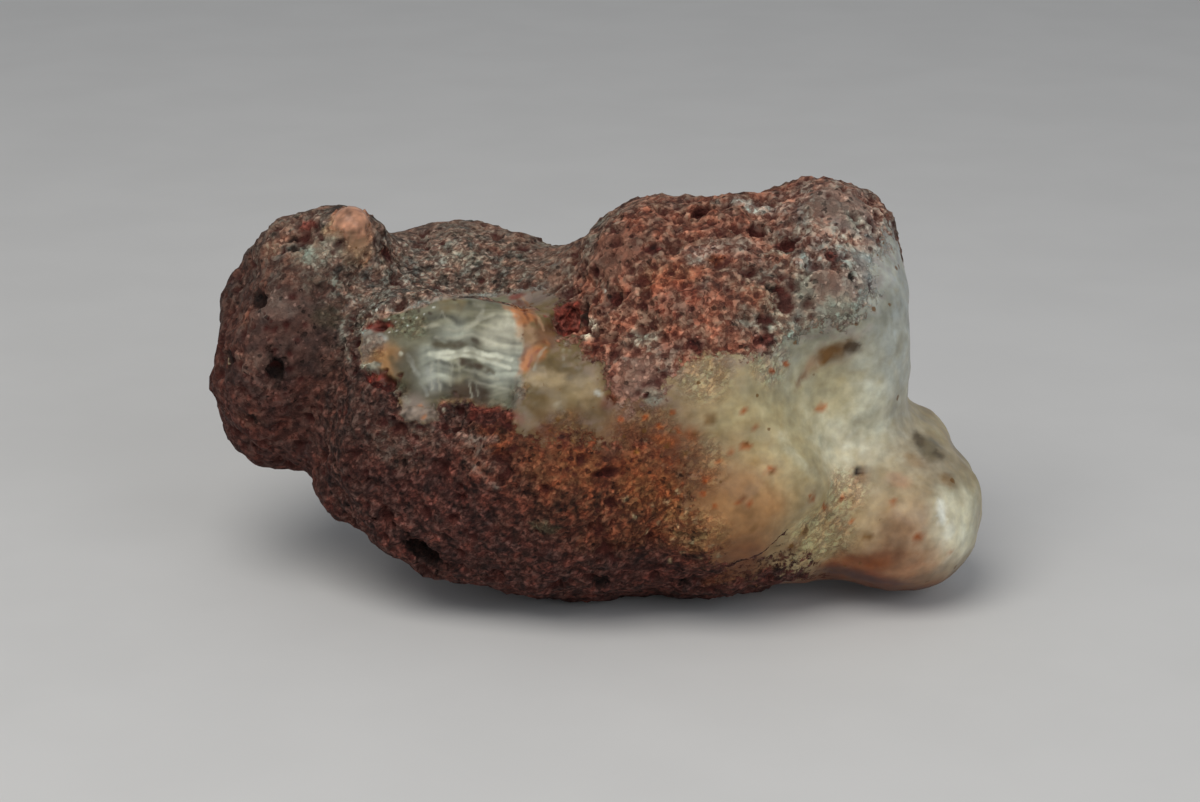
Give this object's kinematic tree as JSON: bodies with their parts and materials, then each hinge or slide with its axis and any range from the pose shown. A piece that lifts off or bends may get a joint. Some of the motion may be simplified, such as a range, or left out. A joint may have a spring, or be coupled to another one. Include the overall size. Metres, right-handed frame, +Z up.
{
  "type": "agate nodule",
  "caption": "Lumpy agate nodule with a rough pitted rind, a broken window of banded chalcedony and a smooth rounded foot, resting on a small flat spot.",
  "frame": {"origin": "middle of the footprint of the stone's bounding box, on the plane it rests on", "axes": "+X along the stone's length towards the smooth rounded foot, -Y out of the side with the broken window, +Z up from the resting spot"},
  "size_m": [0.068, 0.0354, 0.036],
  "materials": {
    "stone": "matt pitted rind over waxy, faintly translucent chalcedony"
  },
  "bodies": {
    "root": {"agate_nodule": "stone"}
  },
  "joints": []
}
